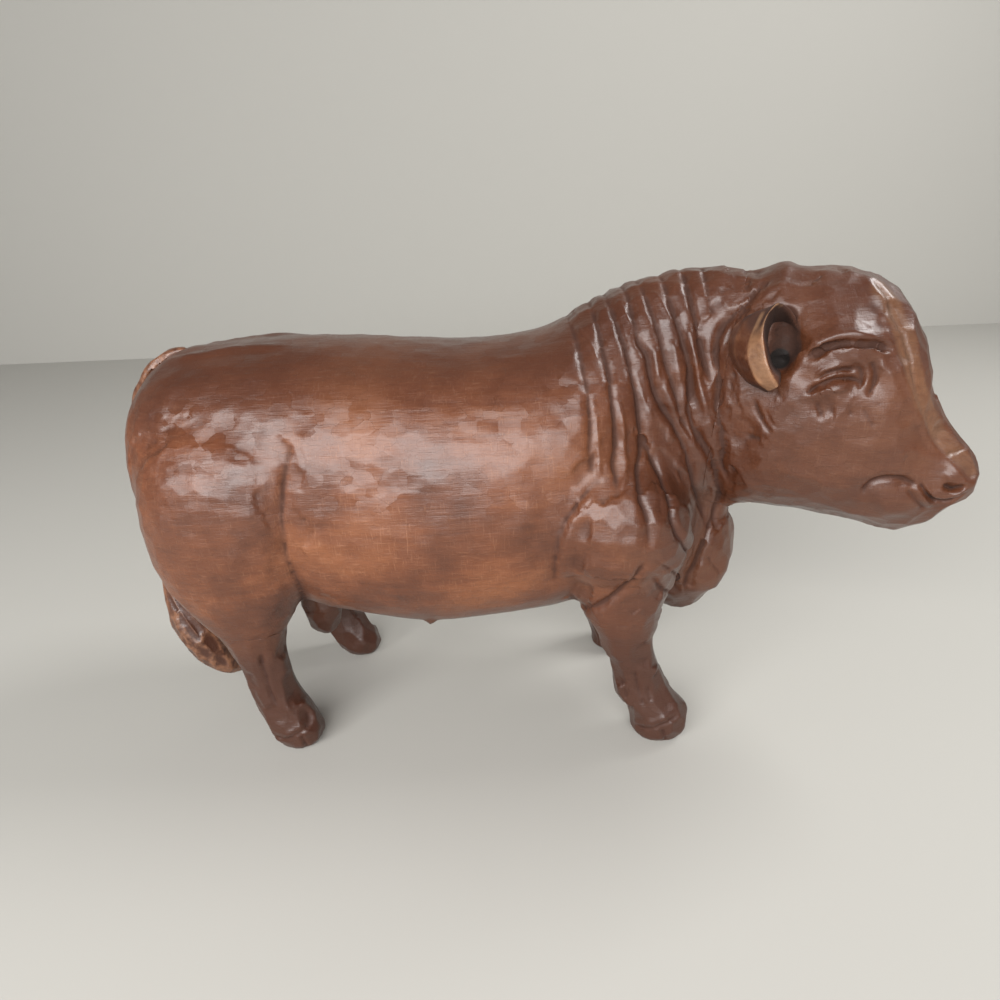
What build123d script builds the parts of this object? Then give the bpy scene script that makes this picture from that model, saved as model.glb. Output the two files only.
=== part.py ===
from build123d import *
from math import cos, radians, sin, tan
import os

# A carved wooden bull that stands on four hooves, its head turned to its own right.
# Millimetres. X runs from the rump to the nose, Z up, and the bull's right side is at minus Y.
# The origin is on the floor, halfway between rump and nose.

# Trunk
rump_x = -163.6
trunk_length = 230.0
back_height = 176.0
barrel_width = 112.0
widest_level_share = 0.46

# Thighs and hind legs, at the right hind hoof's place
stance_width = 70.0
hind_hoof_x = -107.1
hind_seam_height = 62.0
thigh_height = 158.0
thigh_length = 80.0
thigh_width = 52.0
hind_left_step = 15.0
hind_dowel_place = -13.0
stride_height = 99.0

# Shoulders and forelegs
fore_hoof_x = 56.4
fore_seam_height = 64.0
upper_arm_height = 128.0
upper_arm_length = 52.0
upper_arm_width = 30.0
fore_left_step = -12.0
fore_dowel_place = -17.5
shoulder_length = 62.0
shoulder_width = 44.0
shoulder_height = 55.0
shoulder_spread = 74.0
shoulder_centre_x = 35.4
shoulder_centre_height = 105.0
shoulder_tilt = 24.0
shoulder_seam_turn = 90.0

# Neck, fanned out from the brisket in folds
fan_x = 73.4
fan_height = 55.0
fan_inner_radius = 12.0
neck_crest_rise = 1.0
neck_root_half_width = 50.0
neck_head_half_width = 27.0
neck_root_lean = 30.0
neck_head_lean = -6.0
fold_count = 9
fold_depth = 2.9
brisket_length = 48.0
brisket_width = 44.0
brisket_height = 70.0
brisket_centre_x = 68.9
brisket_centre_height = 81.0

# Head, in its own frame: along the head's heading, and height
head_turn = 22.0
head_shift = -4.0
head_length = 102.0
head_height = 96.0
jaw_height = 104.0
head_width = 62.0

# Ears
ear_height = 35.0
ear_depth = 21.0
ear_thickness = 20.0
ear_along = 28.0
ear_spread = 60.0
ear_base_rise = 53.0
ear_wall = 2.6
ear_mouth_forward = 4.2
ear_mouth_outward = 3.2

# Face
eye_along = 48.0
eye_rise = 60.0
eye_length = 15.0
eye_width = 8.0
eye_opening = 7.5
eye_spread = 56.5
brow_length = 30.0
brow_width = 9.0
brow_thickness = 8.0
brow_rise = 71.5
nostril_along = 92.0
nostril_rise = 21.0
nostril_size = 7.0
nostril_spread = 22.0

# Tail
tail_width = 9.0
tail_depth = 9.0
tuft_width = 21.0
tuft_depth = 17.0
tail_run = 30.0
tail_drop = 154.5
tail_root_sink = 3.5
tail_rear_x = -164.6
tuft_swing = 7.0

# Underside
scrotum_length = 19.0
scrotum_width = 20.0
scrotum_height = 36.0
scrotum_x = -99.6
scrotum_hang = 10.6
sheath_length = 12.0
sheath_width = 8.0
sheath_height = 15.0
sheath_x = -43.6
sheath_hang = 2.1

# Hooves
cleft_width = 2.2
cleft_depth = 8.0
cleft_height = 9.0

# Glued dowels
neck_dowel_diameter = 10.0
neck_dowel_length = 44.0
neck_dowel_low_rise = 28.0
neck_dowel_high_rise = 64.0
leg_dowel_diameter = 8.0
leg_dowel_length = 34.0
ear_peg_diameter = 3.0
ear_peg_length = 14.0
ear_peg_rise = 7.0
tail_peg_diameter = 4.0
tail_peg_length = 22.0
tail_peg_drop = 34.5
tail_peg_cover = 2.5
glue_gap = 0.1
end_gap = 0.4
seam_gap = 0.2

# Heights and reaches that follow from these sizes
neck_radius = jaw_height + head_height + neck_crest_rise - fan_height
ear_base_height = jaw_height + ear_base_rise
tail_root_height = back_height - tail_root_sink

# Shares, chosen by hand, of the sizes that they follow
# Trunk stations: place along the trunk, bottom and top over the back's height, width
trunk_shares = (
    (0.004, 0.680, 0.800, 0.300),
    (0.024, 0.560, 0.912, 0.560),
    (0.080, 0.460, 0.972, 0.760),
    (0.180, 0.395, 1.000, 0.880),
    (0.290, 0.357, 1.009, 0.930),
    (0.410, 0.322, 1.003, 0.965),
    (0.530, 0.300, 0.991, 1.000),
    (0.645, 0.312, 0.986, 0.990),
    (0.755, 0.325, 1.006, 0.930),
    (0.850, 0.335, 1.030, 0.790),
    (0.930, 0.345, 0.930, 0.620),
    (0.985, 0.380, 0.720, 0.380),
)
# Hind leg stations: height over the thigh's, back and front over the thigh's length, and outer
# and inner over the thigh's width, all from the hoof's middle
hind_shares = (
    (0.000, -0.115, 0.105, 0.165, -0.165),
    (0.030, -0.150, 0.125, 0.180, -0.180),
    (0.075, -0.185, 0.110, 0.180, -0.180),
    (0.130, -0.215, 0.065, 0.155, -0.150),
    (0.200, -0.240, 0.015, 0.145, -0.145),
    (0.290, -0.275, 0.000, 0.160, -0.155),
    (0.360, -0.325, 0.010, 0.190, -0.185),
    (0.425, -0.410, 0.080, 0.245, -0.240),
    (0.490, -0.490, 0.170, 0.310, -0.330),
    (0.580, -0.565, 0.260, 0.390, -0.470),
    (0.700, -0.595, 0.330, 0.440, -0.560),
    (0.820, -0.580, 0.360, 0.410, -0.560),
    (0.920, -0.500, 0.340, 0.280, -0.500),
    (1.000, -0.330, 0.240, 0.020, -0.420),
)
# Foreleg stations: the same over the upper arm's height, length and width
fore_shares = (
    (0.000, -0.190, 0.200, 0.310, -0.310),
    (0.045, -0.230, 0.235, 0.340, -0.340),
    (0.110, -0.270, 0.230, 0.340, -0.340),
    (0.170, -0.360, 0.120, 0.290, -0.290),
    (0.250, -0.400, 0.020, 0.260, -0.260),
    (0.350, -0.470, -0.070, 0.280, -0.280),
    (0.420, -0.540, -0.060, 0.330, -0.330),
    (0.500, -0.640, -0.040, 0.400, -0.400),
    (0.590, -0.730, 0.040, 0.460, -0.480),
    (0.700, -0.770, 0.090, 0.480, -0.580),
    (0.840, -0.740, 0.060, 0.420, -0.620),
)
# Head stations: jaw's place along the head and height, top's place and height, width
head_shares = (
    (0.235, 0.005, 0.340, 0.975, 0.970),
    (0.370, 0.010, 0.500, 0.975, 1.000),
    (0.495, 0.000, 0.630, 0.915, 0.960),
    (0.605, -0.015, 0.718, 0.800, 0.860),
    (0.700, -0.035, 0.780, 0.655, 0.720),
    (0.790, -0.035, 0.830, 0.500, 0.610),
    (0.865, 0.010, 0.900, 0.390, 0.560),
    (0.930, 0.080, 0.962, 0.310, 0.500),
    (0.976, 0.140, 1.000, 0.245, 0.380),
)
head_root_low_share = 0.050
head_root_top_share = 0.955
head_root_width_share = 0.880
head_widest_share = 0.54
# Tail stations: place over the run and the drop from the root, widths over the tail's or tuft's
tail_shares = (
    (0.000, 0.000, 0.25, 0.25, 0.000),
    (-0.300, 0.005, 0.80, 0.75, 0.000),
    (-0.680, 0.060, 1.00, 1.00, 0.000),
    (-1.000, 0.190, 0.95, 1.00, 0.000),
    (-1.090, 0.380, 0.85, 0.90, 0.000),
    (-1.060, 0.560, 0.85, 0.90, 0.150),
    (-0.980, 0.700, 0.90, 0.95, 0.700),
    (-0.830, 0.820, 0.95, 1.00, 1.000),
    (-0.560, 0.930, 0.90, 0.80, 0.900),
    (-0.300, 1.000, 0.40, 0.30, 0.350),
)
# Ear stations: height over the ear's, depth and thickness over the ear's, place of the middle
ear_shares = (
    (0.000, 0.300, 0.500, 0.000),
    (0.180, 0.780, 0.850, -0.040),
    (0.420, 1.000, 1.000, -0.090),
    (0.680, 0.820, 0.850, -0.030),
    (0.880, 0.430, 0.480, 0.090),
)
section_points = 12
roundness_share = 0.88
neck_widest_share = 0.42
neck_root_radius_share = 0.935
middle_share = 0.5

heading = Vector(cos(radians(head_turn)), -sin(radians(head_turn)), 0)
across = Vector(sin(radians(head_turn)), cos(radians(head_turn)), 0)
up = Vector(0, 0, 1)
head_root = Vector(fan_x, head_shift, 0)
right, left = -1, 1
sides = {"right": right, "left": left}


def softened(value):
    """One coordinate of the slightly squared unit outline."""
    size = abs(value) ** roundness_share
    return size if value >= 0 else -size


def outline(half_width, top, bottom, level_share):
    """Points of a closed egg outline, upright in its plane."""
    level = bottom + (top - bottom) * level_share
    points = []
    for step in range(section_points):
        angle = radians(360 * (step + middle_share) / section_points)
        reach = top - level if sin(angle) > 0 else level - bottom
        points.append((half_width * softened(cos(angle)), level + reach * softened(sin(angle))))
    return points


def lofted(stations, creased=False):
    """One carved mass through egg outlines: (plane, half width, top, bottom, widest level)."""
    with BuildPart() as mass:
        for plane, half_width, top, bottom, level_share in stations:
            with BuildSketch(plane):
                with BuildLine():
                    Spline(*outline(half_width, top, bottom, level_share), periodic=True)
                make_face()
        loft(ruled=creased)
    return mass.part


def rounded(centre, length, width, height, turn=0.0, tilt=0.0, seam=0.0):
    """A rounded mass of three sizes, turned about Z, tilted about its own width, its seam aside."""
    with BuildPart() as mass:
        Sphere(1, rotation=(0, 0, seam))
        scale(by=(length / 2, width / 2, height / 2))
    return Location(centre) * Rotation(0, 0, turn) * Rotation(0, tilt, 0) * mass.part


def head_point(along, side, height):
    """A place in the turned head: along its heading, across it and above the floor."""
    return head_root + heading * along + across * side + up * height


def seam_along(height):
    """How far forward the seam between neck and head lies at a height."""
    return (height - fan_height) * tan(radians(-neck_head_lean))


def stride(side, step, height):
    """How far a leg leans forward at a height: the left legs step away from the right ones."""
    if side == right:
        return 0
    return step * max(0, 1 - height / stride_height)


def belly_height(x):
    """How high the trunk's underside is above the floor at a place along it."""
    place = (x - rump_x) / trunk_length
    for before, after in zip(trunk_shares, trunk_shares[1:]):
        if before[0] <= place <= after[0]:
            way = (place - before[0]) / (after[0] - before[0])
            return back_height * (before[1] + (after[1] - before[1]) * way)
    return back_height * trunk_shares[-1][1]


def trunk_mass():
    stations = []
    for place, low, high, width in trunk_shares:
        plane = Plane((rump_x + trunk_length * place, 0, 0), x_dir=(0, 1, 0), z_dir=(1, 0, 0))
        half_width = width * barrel_width / 2
        top = high * back_height
        bottom = low * back_height
        stations.append((plane, half_width, top, bottom, widest_level_share))
    return lofted(stations)


def leg_mass(shares, side, step, hoof_x, height, length, width):
    """A leg with the thigh or upper arm that it grows from, through level outlines."""
    stations = []
    for level, back, front, outer, inner in shares:
        middle_x = hoof_x + length * (back + front) / 2 + stride(side, step, level * height)
        middle_y = side * (stance_width / 2 + width * (outer + inner) / 2)
        plane = Plane((middle_x, middle_y, level * height), x_dir=(0, 1, 0), z_dir=(0, 0, 1))
        half_depth = length * (front - back) / 2
        half_width = width * (outer - inner) / 2
        stations.append((plane, half_width, half_depth, -half_depth, middle_share))
    return lofted(stations)


def neck_mass():
    """The neck, from the shoulders to the head, as folds that fan out from the brisket."""
    stations = []
    steps = 2 * fold_count
    for step in range(steps + 1):
        share = step / steps
        lean = radians(neck_root_lean + (neck_head_lean - neck_root_lean) * share)
        turn = radians(head_turn * share)
        sideways = Vector(sin(turn), cos(turn), 0)
        outwards = Vector(cos(turn), -sin(turn), 0) * -sin(lean) + up * cos(lean)
        origin = Vector(fan_x, head_shift * share, fan_height)
        if step == steps:
            origin -= heading * seam_gap
        plane = Plane(origin, x_dir=sideways, z_dir=sideways.cross(outwards))
        valley = fold_depth * (step % 2)
        half_width = neck_root_half_width + (neck_head_half_width - neck_root_half_width) * share
        growth = neck_root_radius_share + (1 - neck_root_radius_share) * sin(radians(90 * share))
        crest = neck_radius * growth - valley
        stations.append((plane, half_width - valley, crest, fan_inner_radius, neck_widest_share))
    return lofted(stations, creased=True)


def head_mass():
    top = jaw_height + head_height * head_root_top_share
    low = jaw_height + head_height * head_root_low_share
    ends = [(seam_along(low), low, seam_along(top), top, head_root_width_share)]
    for jaw_along, jaw, top_along, top, width in head_shares:
        low_end = (head_length * jaw_along, jaw_height + head_height * jaw)
        high_end = (head_length * top_along, jaw_height + head_height * top)
        ends.append((*low_end, *high_end, width))
    stations = []
    for low_along, low_height, high_along, high_height, width in ends:
        low = head_point(low_along, 0, low_height)
        high = head_point(high_along, 0, high_height)
        rise = high - low
        plane = Plane((low + high) / 2, x_dir=across, z_dir=across.cross(rise))
        half_rise = rise.length / 2
        stations.append((plane, width * head_width / 2, half_rise, -half_rise, head_widest_share))
    return lofted(stations)


def tail_mass():
    places = []
    for run, drop, width, depth, tuft in tail_shares:
        place_x = tail_rear_x + tail_run * (1 + run)
        places.append(Vector(place_x, -tuft_swing * tuft, tail_root_height - tail_drop * drop))
    stations = []
    for index, (run, drop, width, depth, tuft) in enumerate(tail_shares):
        before = places[max(index - 1, 0)]
        after = places[min(index + 1, len(places) - 1)]
        full_width = tail_width + (tuft_width - tail_width) * tuft
        full_depth = tail_depth + (tuft_depth - tail_depth) * tuft
        half_depth = full_depth * depth / 2
        plane = Plane(places[index], x_dir=(0, 1, 0), z_dir=after - before)
        stations.append((plane, full_width * width / 2, half_depth, -half_depth, middle_share))
    return lofted(stations)


def ear_mass(side, wall=0, forward=0, outward=0):
    """An ear's leaf or, with a wall, the hollow in it, moved forward and outward."""
    stations = []
    for level, depth, thickness, lean in ear_shares:
        along = ear_along + ear_depth * lean + forward
        out = side * (ear_spread / 2 + outward)
        height = ear_base_height + ear_height * level + wall
        plane = Plane(head_point(along, out, height), x_dir=across, z_dir=up)
        half_depth = ear_depth * depth / 2 - wall * depth
        half_thickness = ear_thickness * thickness / 2 - wall * thickness
        stations.append((plane, half_thickness, half_depth, -half_depth, middle_share))
    return lofted(stations)


def dowel(centre, direction, diameter, length):
    with BuildPart() as pin:
        with BuildSketch(Plane(centre - direction * (length / 2), z_dir=direction)):
            Circle(diameter / 2)
        extrude(amount=length)
    return pin.part


def bore(centre, direction, diameter, length):
    """The hole for a dowel, with room for glue round it and at its ends."""
    return dowel(centre, direction, diameter + 2 * glue_gap, length + 2 * end_gap)


# The masses beside the trunk, the limbs and the neck
head_blank = head_mass()
brisket_centre = (brisket_centre_x, 0, brisket_centre_height)
brisket = rounded(brisket_centre, brisket_length, brisket_width, brisket_height)
scrotum_centre = (scrotum_x, 0, belly_height(scrotum_x) - scrotum_hang)
scrotum = rounded(scrotum_centre, scrotum_length, scrotum_width, scrotum_height)
sheath_centre = (sheath_x, 0, belly_height(sheath_x) - sheath_hang)
sheath = rounded(sheath_centre, sheath_length, sheath_width, sheath_height)
shoulders = []
for side in sides.values():
    centre = (shoulder_centre_x, side * shoulder_spread / 2, shoulder_centre_height)
    sizes = (shoulder_length, shoulder_width, shoulder_height)
    shoulders.append(rounded(centre, *sizes, tilt=shoulder_tilt, seam=-side * shoulder_seam_turn))

# The lines of the glued dowels and pegs in neck, ears and tail
neck_dowels = []
for rise in (neck_dowel_low_rise, neck_dowel_high_rise):
    height = jaw_height + rise
    place = head_point(seam_along(height), 0, height)
    neck_dowels.append((place, heading, neck_dowel_diameter, neck_dowel_length))
ear_pegs = []
for side in sides.values():
    place = head_point(ear_along, side * ear_spread / 2, ear_base_height + ear_peg_rise)
    ear_pegs.append((place, across, ear_peg_diameter, ear_peg_length))
tail_peg_x = tail_rear_x - tail_depth / 2 + tail_peg_cover + tail_peg_length / 2
tail_peg_place = Vector(tail_peg_x, 0, tail_root_height - tail_peg_drop)
tail_pegs = [(tail_peg_place, Vector(1, 0, 0), tail_peg_diameter, tail_peg_length)]

# Legs from the hoof up to the seam, the thighs and upper arms above it, and their dowels
hind_sizes = (hind_shares, hind_left_step, hind_hoof_x, thigh_height, thigh_length, thigh_width)
fore_sizes = (fore_shares, fore_left_step, fore_hoof_x, upper_arm_height, upper_arm_length, upper_arm_width)
limb_plans = {
    "rear": (hind_sizes, hind_seam_height, hind_dowel_place),
    "front": (fore_sizes, fore_seam_height, fore_dowel_place),
}
legs = {}
limbs = []
leg_dowels = {"rear": [], "front": []}
for end, (sizes, seam_height, dowel_place) in limb_plans.items():
    shares, step, hoof_x, height, length, width = sizes
    for word, side in sides.items():
        mass = leg_mass(shares, side, step, hoof_x, height, length, width)
        middle_y = side * stance_width / 2
        dowel_x = hoof_x + dowel_place + stride(side, step, seam_height)
        dowel_line = (Vector(dowel_x, middle_y, seam_height), up, leg_dowel_diameter, leg_dowel_length)
        cleft_x = hoof_x + length * shares[1][2] + stride(side, step, 0)
        with BuildPart() as leg:
            add(mass)
            split(bisect_by=Plane.XY.offset(seam_height), keep=Keep.BOTTOM)
            with Locations((cleft_x, middle_y, 0)):
                Box(2 * cleft_depth, cleft_width, 2 * cleft_height, mode=Mode.SUBTRACT)
            add(bore(*dowel_line), mode=Mode.SUBTRACT)
        with BuildPart() as limb:
            add(mass)
            split(bisect_by=Plane.XY.offset(seam_height), keep=Keep.TOP)
        legs[f"{end}_{word}_leg"] = leg
        limbs.append(limb.part)
        leg_dowels[end].append(dowel_line)

# Body: barrel, thighs, shoulders and folded neck
body_dowels = neck_dowels + leg_dowels["rear"] + leg_dowels["front"] + tail_pegs
with BuildPart() as body:
    add(trunk_mass())
    add(limbs)
    add(shoulders + [brisket, scrotum, sheath])
    add(neck_mass())
    add([bore(*line) for line in body_dowels], mode=Mode.SUBTRACT)

# Head: brows, eyes and nostrils on the blank, hollowed at the throat for the brisket
throat_play = 2 * seam_gap
throat_sizes = [size + throat_play for size in (brisket_length, brisket_width, brisket_height)]
with BuildPart() as head:
    add(head_blank)
    add(rounded(brisket_centre, *throat_sizes), mode=Mode.SUBTRACT)
    for side in sides.values():
        brow_place = head_point(eye_along, side * eye_spread / 2, jaw_height + brow_rise)
        eye_place = head_point(eye_along, side * eye_spread / 2, jaw_height + eye_rise)
        nostril_place = head_point(nostril_along, side * nostril_spread / 2, jaw_height + nostril_rise)
        brow = rounded(brow_place, brow_length, brow_width, brow_thickness, -head_turn)
        eye = rounded(eye_place, eye_length, eye_width, eye_opening, -head_turn)
        nostril = rounded(nostril_place, nostril_size, nostril_size, nostril_size, -head_turn)
        add([brow, eye])
        add(nostril, mode=Mode.SUBTRACT)
    add([bore(*line) for line in neck_dowels + ear_pegs], mode=Mode.SUBTRACT)

# Ears: leaves hollowed towards the front, scribed to the head
ears = {}
for word, side in sides.items():
    with BuildPart() as ear:
        add(ear_mass(side))
        add(ear_mass(side, ear_wall, ear_mouth_forward, ear_mouth_outward), mode=Mode.SUBTRACT)
        add(head.part, mode=Mode.SUBTRACT)
        add([bore(*line) for line in ear_pegs], mode=Mode.SUBTRACT)
    ears[f"{word}_ear"] = ear

# Tail: a ridge over the rump that hangs to a tuft, scribed to the body
with BuildPart() as tail:
    add(tail_mass())
    add(body.part, mode=Mode.SUBTRACT)
    add([bore(*line) for line in tail_pegs], mode=Mode.SUBTRACT)

# Glued dowels and pegs
pin_groups = {
    "neck_dowels": neck_dowels,
    "rear_leg_dowels": leg_dowels["rear"],
    "front_leg_dowels": leg_dowels["front"],
    "ear_pegs": ear_pegs,
    "tail_peg": tail_pegs,
}
joinery = {}
for word, lines in pin_groups.items():
    with BuildPart() as group:
        for line in lines:
            add(dowel(*line))
    joinery[word] = group

pieces = {"body": body, "head": head, "tail": tail, **legs, **ears, **joinery}
os.makedirs("parts", exist_ok=True)
for word, piece in pieces.items():
    piece.part.label = word
    export_step(piece.part, f"parts/{word}.step")
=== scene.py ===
import math

import bmesh
import bpy
import numpy as np
from mathutils import Matrix, Vector
from mathutils.bvhtree import BVHTree
from mathutils.kdtree import KDTree


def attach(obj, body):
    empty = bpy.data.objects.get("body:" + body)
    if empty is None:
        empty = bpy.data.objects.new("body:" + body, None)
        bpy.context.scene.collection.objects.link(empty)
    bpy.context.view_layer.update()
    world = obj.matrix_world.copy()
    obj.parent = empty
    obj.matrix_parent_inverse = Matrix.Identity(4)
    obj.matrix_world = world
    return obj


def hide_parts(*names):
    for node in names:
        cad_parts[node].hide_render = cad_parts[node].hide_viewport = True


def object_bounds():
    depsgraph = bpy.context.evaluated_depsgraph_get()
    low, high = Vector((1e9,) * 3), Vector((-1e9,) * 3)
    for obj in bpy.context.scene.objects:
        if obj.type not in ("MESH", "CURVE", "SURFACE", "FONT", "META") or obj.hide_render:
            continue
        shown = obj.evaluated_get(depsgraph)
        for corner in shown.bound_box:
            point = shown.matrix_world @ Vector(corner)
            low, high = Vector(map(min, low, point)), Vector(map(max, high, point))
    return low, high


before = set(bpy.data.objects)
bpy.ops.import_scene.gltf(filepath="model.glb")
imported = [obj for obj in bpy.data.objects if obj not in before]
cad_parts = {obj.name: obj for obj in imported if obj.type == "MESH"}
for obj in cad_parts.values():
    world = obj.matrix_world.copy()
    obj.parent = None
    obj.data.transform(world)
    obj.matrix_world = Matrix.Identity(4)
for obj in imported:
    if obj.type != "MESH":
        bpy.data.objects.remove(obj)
cad_box = [list(corner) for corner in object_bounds()]
bpy.ops.object.select_all(action="DESELECT")
mm = 0.001

# Viewpoint
# A hand-held look down on the bull's right side, from close by and level with the top of its
# head. The places of carved lines below are given as pixels seen from here.
view_place = Vector((-1.6, -289.0, 226.9)) * mm
view_pitch = math.radians(23.36)
view_roll = math.radians(2.77)
view_yaw = math.radians(-2.0)
view_focal_pixels = 700.0
view_pixels = 1000.0
sensor_width = 36.0

level_ahead = Vector((math.sin(view_yaw), math.cos(view_yaw), 0))
level_right = Vector((math.cos(view_yaw), -math.sin(view_yaw), 0))
upright = Vector((0, 0, 1))
view_ahead = level_ahead * math.cos(view_pitch) - upright * math.sin(view_pitch)
view_above = level_ahead * math.sin(view_pitch) + upright * math.cos(view_pitch)
view_x = level_right * math.cos(view_roll) - view_above * math.sin(view_roll)
view_y = level_right * math.sin(view_roll) + view_above * math.cos(view_roll)
bpy.ops.object.camera_add()
viewer = bpy.context.object
viewer.name = "viewer"
view_turn = Matrix((view_x, view_y, -view_ahead)).transposed().to_4x4()
viewer.matrix_world = Matrix.Translation(view_place) @ view_turn
viewer.data.sensor_width = sensor_width
viewer.data.lens = sensor_width * view_focal_pixels / view_pixels
viewer.data.clip_start = 5 * mm
bpy.context.scene.camera = viewer


def sight(pixel):
    """The direction from the viewpoint through a pixel."""
    right = (pixel[0] - view_pixels / 2) / view_focal_pixels
    rise = (view_pixels / 2 - pixel[1]) / view_focal_pixels
    return (view_ahead + view_x * right + view_y * rise).normalized()


# Blank
# The glued-up block of hardwood that body, head and legs are carved from in one go, so that the
# carving runs over the glue seams. It is one closed skin, finer where the carving is finer.
blank_nodes = ("body", "head", "rear_right_leg", "rear_left_leg", "front_right_leg", "front_left_leg")
blank_voxel = 1.55 * mm
blank_smoothing_rounds = 4
merge_gap = 0.001 * mm
far = 1000
fine_boxes = (
    ((14, -far, 62), (far, far, far)),
    ((-far, -far, -far), (far, far, 52)),
    ((-far, -far, 112), (-95, -20, 160)),
    ((-90, -far, 105), (-38, -20, 158)),
)


def copied(nodes, name):
    """One loose mesh object of copies of these nodes, merged where their edges meet."""
    bpy.ops.object.select_all(action="DESELECT")
    for node in nodes:
        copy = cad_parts[node].copy()
        copy.data = copy.data.copy()
        for key in list(copy.keys()):
            del copy[key]
        copy.parent = None
        bpy.context.scene.collection.objects.link(copy)
        copy.select_set(True)
        bpy.context.view_layer.objects.active = copy
    if len(nodes) > 1:
        bpy.ops.object.join()
    piece = bpy.context.object
    piece.name = name
    piece.data.materials.clear()
    bpy.ops.object.mode_set(mode="EDIT")
    bpy.ops.mesh.select_all(action="SELECT")
    bpy.ops.mesh.remove_doubles(threshold=merge_gap)
    bpy.ops.object.mode_set(mode="OBJECT")
    return piece


def reskinned(piece, voxel):
    """The piece with one even, closed skin of small squares, without anything inside."""
    bpy.context.view_layer.objects.active = piece
    skin = piece.modifiers.new("skin", "REMESH")
    skin.mode = "VOXEL"
    skin.voxel_size = voxel
    bpy.ops.object.modifier_apply(modifier=skin.name)
    outer = bmesh.new()
    outer.from_mesh(piece.data)
    left = set(outer.verts)
    largest = []
    while left:
        island = [left.pop()]
        for vert in island:
            for edge in vert.link_edges:
                other = edge.other_vert(vert)
                if other in left:
                    left.remove(other)
                    island.append(other)
        largest = max(largest, island, key=len)
    kept = set(largest)
    bmesh.ops.delete(outer, geom=[vert for vert in outer.verts if vert not in kept], context="VERTS")
    outer.to_mesh(piece.data)
    outer.free()
    return piece


def places_of(piece):
    """The places of all points of a mesh, one row each."""
    values = np.empty(len(piece.data.vertices) * 3, np.float32)
    piece.data.vertices.foreach_get("co", values)
    return values.reshape(-1, 3).astype(float)


def facings_of(piece):
    """The directions that the points of a mesh face, one row each."""
    values = np.empty(len(piece.data.vertices) * 3, np.float32)
    piece.data.vertices.foreach_get("normal", values)
    return values.reshape(-1, 3).astype(float)


def surface(piece):
    return places_of(piece), facings_of(piece)


def place(piece, places):
    piece.data.vertices.foreach_set("co", places.astype(np.float32).ravel())
    piece.data.update()


def eased(piece, places, rounds, share=1.0):
    """Places moved towards the middle of their neighbours, round by round."""
    pairs = np.empty(len(piece.data.edges) * 2, np.int32)
    piece.data.edges.foreach_get("vertices", pairs)
    first, second = pairs.reshape(-1, 2).T
    count = len(places)
    neighbours = np.bincount(first, minlength=count) + np.bincount(second, minlength=count)
    share = np.broadcast_to(np.asarray(share, float), count)[:, None]
    for _ in range(rounds):
        sums = np.empty_like(places)
        for axis in range(3):
            sums[:, axis] = np.bincount(first, places[second, axis], count)
            sums[:, axis] += np.bincount(second, places[first, axis], count)
        places = places + (sums / neighbours[:, None] - places) * share
    return places


def alone(piece):
    """Makes this the one selected and active object."""
    bpy.ops.object.select_all(action="DESELECT")
    piece.select_set(True)
    bpy.context.view_layer.objects.active = piece


def refine(piece, wanted):
    """Halves the squares of a skin where wanted(places) is true."""
    alone(piece)
    centres = np.empty(len(piece.data.polygons) * 3, np.float32)
    piece.data.polygons.foreach_get("center", centres)
    bpy.ops.object.mode_set(mode="EDIT")
    bpy.ops.mesh.select_mode(type="FACE")
    bpy.ops.mesh.select_all(action="DESELECT")
    bpy.ops.object.mode_set(mode="OBJECT")
    piece.data.polygons.foreach_set("select", wanted(centres.reshape(-1, 3).astype(float)))
    bpy.ops.object.mode_set(mode="EDIT")
    bpy.ops.mesh.subdivide(number_cuts=1, smoothness=0)
    bpy.ops.object.mode_set(mode="OBJECT")


def detailed(places):
    """Where the carving is fine: neck and head, lower legs, and the chiselled rump and ribs."""
    inside = np.zeros(len(places), bool)
    for low, high in fine_boxes:
        inside |= np.all((places > np.array(low) * mm) & (places < np.array(high) * mm), axis=1)
    return inside


def ramp(values, width):
    """Rises from 0 to 1 while the values rise from 0 to the width."""
    return np.clip(values / width, 0, 1)


blank = reskinned(copied(blank_nodes, "blank"), blank_voxel)
place(blank, eased(blank, places_of(blank), blank_smoothing_rounds))
refine(blank, detailed)

# The neck's regular folds in the blank are planed down before the real ones are cut
plane_back, plane_front, plane_fade = 0 * mm, 104 * mm, 14 * mm
plane_foot, plane_foot_fade = 88 * mm, 20 * mm
crest_level, crest_reach = 175 * mm, 14 * mm
planing_rounds, planing_share, planed_easing_rounds = 70, 0.9, 2
places = places_of(blank)
x, y, z = places.T
neck_share = ramp(x - plane_back, plane_fade) * ramp(z - plane_foot, plane_foot_fade)
neck_share *= ramp(plane_front + (z > crest_level) * crest_reach - x, plane_fade)
place(blank, eased(blank, places, planing_rounds, planing_share * neck_share))
place(blank, eased(blank, places_of(blank), planed_easing_rounds))

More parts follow.
